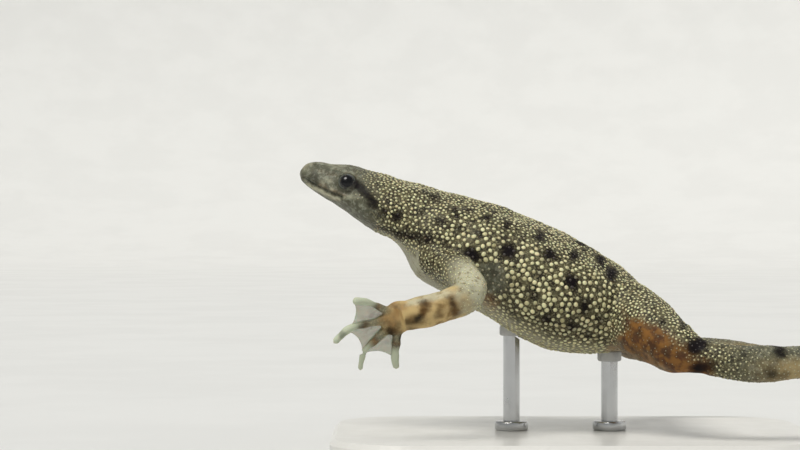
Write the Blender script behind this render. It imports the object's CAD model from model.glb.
"""A life-size African dwarf clawed frog, gliding, on a plain display stand.

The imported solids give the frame. One soft skin takes the place of all the nodes of flesh, with
granules set over it, thin webs, wet eyes and black claws. Lengths are in millimetres while a piece
is shaped, measured from the tip of the snout, and become metres in the row frame when it is done.
"""

import logging
import math
from contextlib import contextmanager
from dataclasses import dataclass
from enum import Enum
from typing import Callable, Iterator, Sequence

import bmesh
import bpy
import numpy as np
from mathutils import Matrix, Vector, kdtree

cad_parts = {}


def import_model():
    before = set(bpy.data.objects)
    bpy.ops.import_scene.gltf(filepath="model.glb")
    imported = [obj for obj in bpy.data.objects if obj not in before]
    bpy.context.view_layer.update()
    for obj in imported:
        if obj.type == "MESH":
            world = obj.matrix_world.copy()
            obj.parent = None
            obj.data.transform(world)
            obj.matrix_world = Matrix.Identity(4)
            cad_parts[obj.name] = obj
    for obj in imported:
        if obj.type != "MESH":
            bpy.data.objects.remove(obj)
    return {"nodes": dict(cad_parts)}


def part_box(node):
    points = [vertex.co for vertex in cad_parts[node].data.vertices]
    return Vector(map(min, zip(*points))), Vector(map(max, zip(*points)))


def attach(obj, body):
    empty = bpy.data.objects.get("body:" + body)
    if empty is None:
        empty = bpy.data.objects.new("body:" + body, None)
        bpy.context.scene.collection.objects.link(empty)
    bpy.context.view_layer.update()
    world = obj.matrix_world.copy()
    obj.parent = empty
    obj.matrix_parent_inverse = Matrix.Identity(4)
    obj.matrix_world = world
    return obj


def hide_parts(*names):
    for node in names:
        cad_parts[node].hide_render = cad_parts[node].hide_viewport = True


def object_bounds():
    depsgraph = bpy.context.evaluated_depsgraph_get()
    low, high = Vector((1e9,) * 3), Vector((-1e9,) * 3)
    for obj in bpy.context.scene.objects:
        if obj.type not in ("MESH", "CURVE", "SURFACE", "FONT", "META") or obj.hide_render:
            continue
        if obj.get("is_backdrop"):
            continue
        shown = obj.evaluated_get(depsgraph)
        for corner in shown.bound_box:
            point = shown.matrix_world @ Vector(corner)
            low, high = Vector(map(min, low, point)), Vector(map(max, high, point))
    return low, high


LOG = logging.getLogger("frog")
ROOT = "root"
MM = 0.001
LEAST = 1e-12
SHIFT = np.array((-26.0, 0.0, 28.0))
PITCH = math.radians(24.3)
SIDES = {"left": -1, "right": 1}

Array = np.ndarray
Place = Callable[[Array, Array], Array]
Point = tuple[float, float, float]
Joints = tuple[Point, Point, Point]
Axes = tuple[Point, Point]


class Part(Enum):
    """What a stretch of skin belongs to."""

    BODY = 0
    ARM = 1
    LEG = 2
    HAND = 3
    FOOT = 4


# Geometry helpers


def posed(points: Array) -> Array:
    """Turns points from the body's own frame, along the line from snout to vent, into the pose.

    Args:
        points: Rows of (behind the snout, side, height), in millimetres.

    Returns:
        Rows of (x, y, z) from the tip of the snout.
    """
    behind, side, height = np.asarray(points, float).T
    x = behind * math.cos(PITCH) + height * math.sin(PITCH)
    z = height * math.cos(PITCH) - behind * math.sin(PITCH)
    return np.stack([x, side, z], -1)


def unposed(points: Array) -> Array:
    """The inverse of posed.

    Args:
        points: Rows of (x, y, z) from the tip of the snout.

    Returns:
        Rows of (behind the snout, side, height).
    """
    x, side, z = np.asarray(points, float).T
    behind = x * math.cos(PITCH) - z * math.sin(PITCH)
    height = x * math.sin(PITCH) + z * math.cos(PITCH)
    return np.stack([behind, side, height], -1)


def to_row(points: Array) -> Array:
    """Millimetres from the tip of the snout, as metres in the row frame."""
    return (np.asarray(points, float) + SHIFT) * MM


def unit(vectors: Array) -> Array:
    """Vectors, one or rows of them, scaled to a length of one."""
    vectors = np.asarray(vectors, float)
    return vectors / np.maximum(np.linalg.norm(vectors, axis=-1, keepdims=True), LEAST)


def smooth_step(value: Array, low: float, high: float) -> Array:
    """A smooth ramp from 0 at low to 1 at high."""
    share = np.clip((value - low) / (high - low), 0, 1)
    return share * share * (3 - 2 * share)


def square_to(ways: Array) -> tuple[Array, Array]:
    """Two directions square to each way and to each other.

    Args:
        ways: Rows of unit vectors.

    Returns:
        Two arrays of unit vectors.
    """
    helper = np.where(np.abs(ways[:, 2:]) < 0.9, [[0.0, 0.0, 1.0]], [[1.0, 0.0, 0.0]])
    first = unit(np.cross(helper, ways))
    return first, np.cross(ways, first)


def bell(value: Array, middle: float, half: float) -> Array:
    """A bump of height one round a middle value."""
    return np.exp(-((value - middle) / half) ** 2)


def between(rows: Array, share: Array) -> Array:
    """Points part of the way along evenly spaced rows.

    Args:
        rows: The rows, from end to end.
        share: How far along each point is, from 0 to 1.

    Returns:
        A row for each share.
    """
    last = len(rows) - 1
    i = np.clip(np.floor(share * last).astype(int), 0, last - 1)
    s = (share * last - i)[:, None]
    return rows[i] * (1 - s) + rows[i + 1] * s


def through(rows: Array, share: Array, tension: float) -> Array:
    """Points on a smooth curve through rows that have one more row past each end.

    Args:
        rows: The rows, with an extra one at each end.
        share: How far along the curve each point is, from 0 to 1.
        tension: How widely the curve swings at a row.

    Returns:
        A row for each share.
    """
    last = len(rows) - 3
    i = np.clip(np.floor(share * last).astype(int), 0, last - 1)
    s = (share * last - i)[:, None]
    start, end = rows[i + 1], rows[i + 2]
    leave = tension * (end - rows[i])
    arrive = tension * (rows[i + 3] - start)
    blend = s * s * (3 - 2 * s)
    return start + (end - start) * blend + leave * s * (1 - s) ** 2 + arrive * s * s * (s - 1)


def tree_of(points: Array) -> kdtree.KDTree:
    """A search tree of points, each under its number.

    Args:
        points: Rows of points.

    Returns:
        The tree.
    """
    tree = kdtree.KDTree(len(points))
    for i, point in enumerate(points):
        tree.insert(point, i)
    tree.balance()
    return tree


@dataclass(frozen=True)
class Ramp:
    """A smooth ramp from 0 at one value to 1 at another, which may be the lower of the two."""

    start: float
    end: float

    def at(self, value: Array) -> Array:
        """How far up the ramp each value is."""
        return smooth_step(value, self.start, self.end)


SOFT_EDGE = Ramp(0.7, 1.2)


@dataclass(frozen=True)
class Ripple:
    """A smooth wandering field, the sum of a few waves in seeded directions."""

    seed: int
    length: float
    waves: int = 7

    def at(self, points: Array) -> Array:
        """The field's height at each point, mostly between -1 and 1.

        Args:
            points: Rows of points in millimetres.

        Returns:
            One height for each point.
        """
        random = np.random.default_rng(self.seed)
        ways = unit(random.normal(size=(self.waves, 3)))
        lengths = self.length * random.uniform(0.7, 1.5, self.waves)
        starts = random.uniform(0, 2 * math.pi, self.waves)
        phases = points @ (ways / lengths[:, None] * 2 * math.pi).T + starts
        return np.sin(phases).sum(1) / math.sqrt(self.waves)


# The bench: Blender's operators, as a maker uses them


class Bench:
    """Adds, shapes, joins and finishes meshes with Blender's operators."""

    @staticmethod
    def clear() -> None:
        """Leaves edit mode and deselects everything."""
        if bpy.context.object and bpy.context.object.mode != "OBJECT":
            bpy.ops.object.mode_set(mode="OBJECT")
        bpy.ops.object.select_all(action="DESELECT")

    @staticmethod
    def select(pieces: Sequence[bpy.types.Object]) -> None:
        """Selects pieces and makes the first one active.

        Args:
            pieces: The pieces to select.
        """
        Bench.clear()
        for piece in pieces:
            piece.select_set(True)
        bpy.context.view_layer.objects.active = pieces[0]

    @staticmethod
    @contextmanager
    def editing(piece: bpy.types.Object) -> Iterator[None]:
        """Edit mode on one piece, with all of it selected.

        Args:
            piece: A mesh object.

        Yields:
            Nothing.
        """
        Bench.select([piece])
        bpy.ops.object.mode_set(mode="EDIT")
        bpy.ops.mesh.select_all(action="SELECT")
        yield
        bpy.ops.object.mode_set(mode="OBJECT")
        piece.select_set(False)

    @staticmethod
    def rows(layer: bpy.types.bpy_prop_collection, key: str) -> Array:
        """The vectors of a mesh's vertices.

        Args:
            layer: The mesh's vertices or normals.
            key: The name of the vector.

        Returns:
            Rows of (x, y, z).
        """
        flat = np.zeros(len(layer) * 3, np.float32)
        layer.foreach_get(key, flat)
        return flat.reshape(-1, 3).astype(float)

    @staticmethod
    def points(piece: bpy.types.Object) -> Array:
        """The places of a mesh's vertices."""
        return Bench.rows(piece.data.vertices, "co")

    @staticmethod
    def place(piece: bpy.types.Object, points: Array) -> None:
        """Moves a mesh's vertices."""
        piece.data.vertices.foreach_set("co", np.asarray(points, np.float32).ravel())
        piece.data.update()

    @staticmethod
    def normals(piece: bpy.types.Object) -> Array:
        """The vertex normals of a mesh."""
        return Bench.rows(piece.data.vertex_normals, "vector")

    @staticmethod
    def take(name: str) -> bpy.types.Object:
        """Names the primitive that was just added, and deselects it.

        Args:
            name: The piece's name.

        Returns:
            The piece.
        """
        piece = bpy.context.object
        piece.name = name
        piece.data.name = name
        piece.select_set(False)
        return piece

    @staticmethod
    def globe(name: str, around: int, along: int, put: Place) -> bpy.types.Object:
        """A ball whose rings are laid along a form, from pole to pole.

        Args:
            name: The piece's name.
            around: How many faces it has round it.
            along: How many rings of faces it has from pole to pole.
            put: Gives the place for each share of the way along and each angle round.

        Returns:
            The piece.
        """
        Bench.clear()
        bpy.ops.mesh.primitive_uv_sphere_add(segments=around, ring_count=along, radius=1)
        piece = Bench.take(name)
        x, y, z = Bench.points(piece).T
        share = 1 - np.arccos(np.clip(z, -1, 1)) / math.pi
        Bench.place(piece, put(np.round(share * along) / along, np.arctan2(y, x)))
        Bench.outward(piece)
        return piece

    @staticmethod
    def outward(piece: bpy.types.Object) -> None:
        """Turns all of a closed mesh's faces outwards."""
        with Bench.editing(piece):
            bpy.ops.mesh.normals_make_consistent(inside=False)

    @staticmethod
    def set_down(piece: bpy.types.Object) -> None:
        """Puts a primitive's place and turn into its mesh."""
        Bench.select([piece])
        bpy.ops.object.transform_apply(location=True, rotation=True, scale=True)

    @staticmethod
    def join(name: str, pieces: Sequence[bpy.types.Object]) -> bpy.types.Object:
        """Joins pieces to one.

        Args:
            name: The name of the whole.
            pieces: The pieces, which are used up.

        Returns:
            The whole.
        """
        Bench.select(pieces)
        if len(pieces) > 1:
            bpy.ops.object.join()
        return Bench.take(name)

    @staticmethod
    def finish(piece: bpy.types.Object, kind: str, **settings: object) -> None:
        """Adds a modifier and applies it.

        Args:
            piece: A mesh object.
            kind: The kind of modifier.
            **settings: The modifier's settings.
        """
        modifier = piece.modifiers.new(kind.title(), kind)
        for key, value in settings.items():
            setattr(modifier, key, value)
        Bench.select([piece])
        bpy.ops.object.modifier_apply(modifier=modifier.name)
        piece.select_set(False)

    @staticmethod
    def mesh(name: str, points: Array, faces: Array) -> bpy.types.Object:
        """A mesh object from many like faces, each with the same number of corners.

        Args:
            name: The piece's name.
            points: Rows of (x, y, z).
            faces: Rows of vertex numbers.

        Returns:
            The piece.
        """
        data = bpy.data.meshes.new(name)
        corners = faces.shape[1]
        data.vertices.add(len(points))
        data.vertices.foreach_set("co", points.astype(np.float32).ravel())
        data.loops.add(faces.size)
        data.loops.foreach_set("vertex_index", faces.astype(np.int32).ravel())
        data.polygons.add(len(faces))
        data.polygons.foreach_set("loop_start", np.arange(0, faces.size, corners, dtype=np.int32))
        data.update(calc_edges=True)
        piece = bpy.data.objects.new(name, data)
        bpy.context.scene.collection.objects.link(piece)
        return piece

    @staticmethod
    def shade(piece: bpy.types.Object) -> None:
        """Shades a mesh smoothly all over."""
        piece.data.polygons.foreach_set("use_smooth", np.ones(len(piece.data.polygons), bool))
        piece.data.update()

    @staticmethod
    def paint(piece: bpy.types.Object, name: str, values: Array) -> None:
        """Writes a value on each vertex, as a named attribute.

        Args:
            piece: A mesh object.
            name: The attribute's name.
            values: One number for each vertex, or rows of three.
        """
        values = np.asarray(values, np.float32)
        if values.ndim == 1:
            made = piece.data.attributes.new(name, "FLOAT", "POINT")
            made.data.foreach_set("value", values)
            return
        made = piece.data.attributes.new(name, "FLOAT_COLOR", "POINT")
        rows = np.concatenate([values, np.ones((len(values), 1), np.float32)], 1)
        made.data.foreach_set("color", rows.ravel())


# The frog's form, from the same sizes as its solids


@dataclass(frozen=True)
class BodyForm:
    """The body as sections from snout to vent.

    Each section has its distance behind the snout, the heights of the back, of the widest line and
    of the belly over the line from snout to vent, and the half width.
    """

    sections: tuple[tuple[float, ...], ...] = (
        (0.0, -0.1, -0.1, -0.1, 0.0),
        (0.3, 0.75, -0.1, -0.75, 1.0),
        (1.2, 1.36, -0.3, -1.2, 1.75),
        (2.8, 1.8, -0.45, -1.5, 2.6),
        (4.3, 2.38, -0.5, -1.65, 3.25),
        (6.4, 2.66, -0.6, -2.05, 4.15),
        (8.6, 3.02, -0.6, -2.45, 4.65),
        (10.8, 3.3, -0.6, -2.5, 4.85),
        (12.4, 3.62, -0.75, -3.3, 5.3),
        (14.2, 3.85, -0.9, -4.7, 5.95),
        (16.4, 4.25, -0.95, -5.1, 6.5),
        (19.4, 4.66, -0.9, -5.1, 7.2),
        (22.6, 4.74, -0.9, -5.5, 7.85),
        (25.8, 4.8, -1.0, -5.95, 8.25),
        (28.8, 4.56, -1.1, -5.85, 8.05),
        (31.6, 4.2, -0.8, -4.95, 6.95),
        (34.2, 3.3, -0.4, -3.75, 5.1),
        (36.4, 2.2, -0.1, -2.5, 3.2),
        (37.9, 0.95, 0.0, -1.2, 1.4),
        (38.3, -0.1, -0.1, -0.1, 0.0),
    )
    neck: float = 9.6
    snout_power: float = 1.75
    back_power: float = 2.1
    belly_power: float = 2.25
    tension: float = 0.5
    around: int = 96
    rings_a_section: int = 8

    def length(self) -> float:
        """How long the body is, from snout to vent."""
        return self.sections[-1][0]

    def at(self, share: Array) -> Array:
        """The section at each share of the way from snout to vent, on smooth curves.

        Args:
            share: Shares from 0 to 1.

        Returns:
            A row of the five section values for each share.
        """
        rows = np.array(self.sections)
        ends = []
        for pole, following in ((rows[0], rows[1]), (rows[-1], rows[-2])):
            mirrored = 2 * pole - following
            mirrored[0] = following[0]
            ends.append(mirrored)
        return through(np.vstack([ends[0], rows, ends[1]]), share, self.tension)

    def skin(self, share: Array, turn: Array) -> Array:
        """Points on the body.

        Args:
            share: How far from snout to vent each point is, from 0 to 1.
            turn: Each point's angle round the body.

        Returns:
            Rows of (x, y, z) in the pose.
        """
        behind, back, flank, belly, half = self.at(share).T
        up = np.sin(turn)
        side = np.cos(turn)
        to_neck = np.minimum(1, behind / self.neck)
        round_back = self.snout_power + (self.back_power - self.snout_power) * to_neck
        power = np.where(up > 0, round_back, self.belly_power)
        across = np.sign(side) * np.abs(side) ** (2 / power)
        rise = np.abs(up) ** (2 / power)
        height = flank + np.where(up > 0, (back - flank) * rise, (belly - flank) * rise)
        return posed(np.stack([behind, across * half, height], -1))


@dataclass(frozen=True)
class Tube:
    """A round form along a path, with radii that are evenly spaced from end to end."""

    path: Array
    radii: Array
    around: int
    part: Part

    def point(self, share: Array, turn: Array) -> Array:
        """Points on the form.

        Args:
            share: How far along each point is, from 0 to 1.
            turn: Each point's angle round the form.

        Returns:
            Rows of (x, y, z) in the pose.
        """
        centre = between(self.path, share)
        first, second = square_to(unit(between(unit(np.gradient(self.path, axis=0)), share)))
        radius = np.interp(share, np.linspace(0, 1, len(self.radii)), self.radii)
        radius = np.where((share <= 0) | (share >= 1), 0, radius)
        round_way = first * np.cos(turn)[:, None] + second * np.sin(turn)[:, None]
        return centre + round_way * radius[:, None]

    def build(self, name: str) -> bpy.types.Object:
        """The form as a closed mesh."""
        return Bench.globe(name, self.around, len(self.path) - 1, self.point)


def bent_path(joints: Sequence[Sequence[float]], steps: int, tension: float = 0.6) -> Array:
    """A smooth path through joints.

    Args:
        joints: The joints, as (x, y, z).
        steps: How many steps the whole path has.
        tension: How widely the path swings at a joint.

    Returns:
        Rows of points, one more than the steps.
    """
    rows = np.array(joints, float)
    padded = np.vstack([2 * rows[0] - rows[1], rows, 2 * rows[-1] - rows[-2]])
    return through(padded, np.linspace(0, 1, steps + 1), tension)


@dataclass(frozen=True)
class Digit:
    """A finger or toe: its turn from the fan's axis, its curl and lean in degrees, its length."""

    turn: float
    length: float
    curl: float
    lean: float


@dataclass(frozen=True)
class Fan:
    """Digits that spread from one root, with the webs between them."""

    root: Array
    axis: Point
    across: Point
    hand: int
    digits: tuple[Digit, ...]
    webs: tuple[tuple[float, float], ...]
    root_radius: float
    tip_radius: float
    part: Part
    steps: int = 24
    curl_from: float = 0.55
    curl_to: float = 0.85
    knuckle: float = 0.16
    tip_shares: tuple[float, float] = (0.95, 0.75)
    around: int = 12

    def frame(self) -> tuple[Array, Array, Array]:
        """The fan's axis, the way across it and its normal.

        Returns:
            Three unit vectors.
        """
        axis = unit(np.array(self.axis))
        normal = unit(np.cross(axis, np.array(self.across)))
        return axis, unit(np.cross(normal, axis)), normal

    def path(self, digit: Digit) -> Array:
        """The line along a digit, from its root out to its tip.

        Args:
            digit: The digit.

        Returns:
            Rows of points.
        """
        axis, across, normal = self.frame()
        share = (np.arange(self.steps) + 0.5) / self.steps
        bend = digit.turn + digit.curl * smooth_step(share, self.curl_from, self.curl_to)
        angle = np.radians(bend)[:, None]
        way = axis * np.cos(angle) + across * np.sin(angle)
        way = unit(way + normal * math.tan(math.radians(digit.lean)) * self.hand)
        steps = np.cumsum(way * digit.length / self.steps, axis=0)
        return np.vstack([self.root, self.root + steps])

    def tube(self, digit: Digit) -> Tube:
        """A digit's flesh, with knuckles and a soft round tip.

        Args:
            digit: The digit.

        Returns:
            The form.
        """
        share = np.linspace(0, 1, self.steps + 1)
        knuckles = 1 + self.knuckle * np.cos(share * 4 * math.pi) ** 4
        radii = (self.root_radius + (self.tip_radius - self.root_radius) * share) * knuckles
        radii[-2:] *= self.tip_shares
        return Tube(self.path(digit), radii, self.around, self.part)


@dataclass(frozen=True)
class Frog:
    """The frog's measures, in millimetres from the tip of the snout, in the pose."""

    body: BodyForm = BodyForm()
    eye_behind: float = 4.66
    eye_height: float = 0.58
    eye_side: float = 2.55
    eye_radius: float = 0.95
    eye_facing: Point = (-0.1, 1.0, 0.26)
    arm_radii: tuple[float, ...] = (1.9, 1.55, 1.38, 1.32, 1.44, 1.44, 1.28)
    leg_radii: tuple[float, ...] = (3.3, 3.0, 2.4, 1.5, 1.68, 1.5, 0.98)
    tarsus_radii: tuple[float, ...] = (0.95, 0.85, 0.95, 0.8)
    finger_radii: tuple[float, float] = (0.46, 0.3)
    toe_radii: tuple[float, float] = (0.52, 0.32)
    tarsus: float = 5.4
    overrun: float = 1.1
    fan_root: float = 0.68
    limb_steps: int = 56
    limb_around: int = 28
    tarsus_shares: tuple[float, ...] = (0, 0.5, 1.2)
    tarsus_steps: int = 24
    tarsus_around: int = 18
    left_arm: Joints = ((12.7, -4.2, -8.1), (16.0, -9.9, -11.5), (10.0, -12.4, -13.2))
    right_arm: Joints = ((12.7, 4.2, -8.1), (16.4, 9.7, -11.5), (14.8, 15.3, -8.8))
    left_leg: Joints = ((30.3, -3.0, -13.4), (37.5, -11.4, -17.4), (50.3, -10.6, -17.7))
    right_leg: Joints = ((30.3, 3.0, -13.4), (35.6, 12.4, -17.6), (48.2, 13.2, -19.0))
    left_hand: Axes = ((-0.79, -0.14, -0.6), (0.56, 0.3, -0.77))
    right_hand: Axes = ((-0.3, 0.9, 0.05), (0.85, 0.3, -0.35))
    left_foot: Axes = ((0.965, -0.12, -0.16), (0.05, -0.93, -0.32))
    right_foot: Axes = ((0.95, 0.16, -0.08), (-0.05, 0.93, -0.3))
    fingers: tuple[Digit, ...] = (
        Digit(-61.7, 4.9, 19.4, 4),
        Digit(-26.5, 6.8, 32.8, 2),
        Digit(7.1, 6.4, 38.3, -2),
        Digit(49.2, 5.0, 12.9, -4),
    )
    finger_webs: tuple[tuple[float, float], ...] = ((0.97, 0.72), (0.76, 0.74), (0.72, 0.78))
    toes: tuple[Digit, ...] = (
        Digit(-25, 8.2, 4, -5),
        Digit(-12, 10.6, 4, -3),
        Digit(0, 13.2, 3, 0),
        Digit(11, 15.2, 2, 0),
        Digit(23, 13.6, -3, -4),
    )
    toe_webs: tuple[tuple[float, float], ...] = ((0.88, 0.82), (0.84, 0.82), (0.84, 0.82), (0.84, 0.88))

    def joints(self, limb: str, side: str) -> Joints:
        """The three joints of one arm or leg, from the body outwards."""
        return getattr(self, f"{side}_{limb}")

    def axes(self, end: str, side: str) -> Axes:
        """The way one hand or foot points, and the way across it."""
        return getattr(self, f"{side}_{end}")

    def hand(self, side: str) -> Fan:
        """The fingers and webs of one hand.

        Args:
            side: Which side of the frog.

        Returns:
            The fan of fingers.
        """
        axis, across = self.axes("hand", side)
        root = np.array(self.joints("arm", side)[2]) + unit(axis) * self.fan_root
        return Fan(root, axis, across, -SIDES[side], self.fingers, self.finger_webs,
                   *self.finger_radii, Part.HAND)

    def foot(self, side: str) -> Fan:
        """The toes and webs of one foot.

        Args:
            side: Which side of the frog.

        Returns:
            The fan of toes.
        """
        axis, across = self.axes("foot", side)
        root = np.array(self.joints("leg", side)[2]) + unit(axis) * self.tarsus
        return Fan(root, axis, across, SIDES[side], self.toes, self.toe_webs, *self.toe_radii, Part.FOOT)

    def limbs(self, side: str) -> list[Tube]:
        """The arm, the leg and the tarsus of one side.

        Args:
            side: Which side of the frog.

        Returns:
            Their forms.
        """
        made = []
        ends = (("arm", "hand", self.arm_radii, Part.ARM), ("leg", "foot", self.leg_radii, Part.LEG))
        for limb, end, radii, part in ends:
            joints = self.joints(limb, side)
            axis = self.axes(end, side)[0]
            past = np.array(joints[2]) + unit(axis) * self.overrun
            path = bent_path((*joints[:2], tuple(past)), self.limb_steps)
            shares = np.linspace(0, len(radii) - 1, self.limb_steps + 1)
            low = np.minimum(shares.astype(int), len(radii) - 2)
            blend = smooth_step(shares - low, 0, 1)
            sizes = np.array(radii)
            sizes = sizes[low] * (1 - blend) + sizes[low + 1] * blend
            made.append(Tube(path, sizes, self.limb_around, part))
        ankle = np.array(self.joints("leg", side)[2])
        axis = unit(self.axes("foot", side)[0])
        places = [ankle + axis * (self.tarsus * share) for share in self.tarsus_shares]
        sole = bent_path(places, self.tarsus_steps)
        made.append(Tube(sole, np.array(self.tarsus_radii), self.tarsus_around, Part.FOOT))
        return made

    def eye(self, side: str) -> tuple[Array, Array]:
        """Where an eye sits and the way it looks.

        Args:
            side: Which side of the frog.

        Returns:
            The centre and a unit vector.
        """
        sign = SIDES[side]
        centre = posed([[self.eye_behind, sign * self.eye_side, self.eye_height]])[0]
        behind, out, up = self.eye_facing
        return centre, unit(posed([[behind, sign * out, up]])[0])


# Markings


@dataclass(frozen=True)
class View:
    """The photograph's camera, and where its pixels fall on the frog."""

    width: float = 800.0
    height: float = 450.0
    pixel: float = 0.096
    distance: float = 214.0
    aim_x: float = 9.5
    aim_z: float = -5.33

    def on_body(self, across: float, down: float, side: float) -> tuple[float, float]:
        """The place on the body that shows at a pixel.

        Args:
            across: The pixel's column in the photograph.
            down: The pixel's row in the photograph.
            side: How far out from the middle the place lies, in millimetres.

        Returns:
            How far behind the snout it is, and its height.
        """
        scale = self.pixel * (self.distance + side) / self.distance
        x = self.aim_x + (across - self.width / 2) * scale
        z = self.aim_z - (down - self.height / 2) * scale
        behind, _, height = unposed([(x, side, z)])[0]
        return float(behind), float(height)


@dataclass(frozen=True)
class Spot:
    """A dark blotch on the skin, by its place on the body, its radius and its strength."""

    behind: float
    height: float
    radius: float
    strength: float = 1.0


@dataclass(frozen=True)
class Stroke:
    """A soft band of tone along a line on the body, as (behind, height) points and a half width."""

    line: tuple[tuple[float, float], ...]
    half: float

    def at(self, place: Array) -> Array:
        """How much of the band lies at each point.

        Args:
            place: Rows of (behind, height).

        Returns:
            A strength for each point, from 0 to 1.
        """
        line = np.array(self.line)
        away = np.full(len(place), np.inf)
        for start, end in zip(line, line[1:]):
            run = end - start
            share = np.clip((place - start) @ run / (run @ run), 0, 1)
            near = start + share[:, None] * run
            away = np.minimum(away, np.linalg.norm(place - near, axis=1))
        return 1 - SOFT_EDGE.at(away / self.half)


@dataclass(frozen=True)
class Seen:
    """A blotch where it shows in the photograph: its pixel, its radius in pixels, its strength."""

    across: float
    down: float
    radius: float
    strength: float = 1.0

    def spot(self, view: View, side: float) -> Spot:
        """The blotch on the frog, at a distance out to the side."""
        behind, height = view.on_body(self.across, self.down, side)
        return Spot(behind, height, self.radius * view.pixel, self.strength)


@dataclass(frozen=True)
class SeenStroke:
    """A band where it shows in the photograph: its line and its half width, in pixels."""

    line: tuple[tuple[float, float], ...]
    half: float

    def stroke(self, view: View, side: float) -> Stroke:
        """The band on the frog, at a distance out to the side."""
        line = tuple(view.on_body(across, down, side) for across, down in self.line)
        return Stroke(line, self.half * view.pixel)


@dataclass(frozen=True)
class Tones:
    """How much of each tone lies at each point, from 0 to 1."""

    dark: Array
    pale: Array
    tan: Array
    rust: Array
    grey: Array
    clear: Array


TONE_NAMES = ("dark", "pale", "tan", "rust", "grey", "clear")


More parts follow.
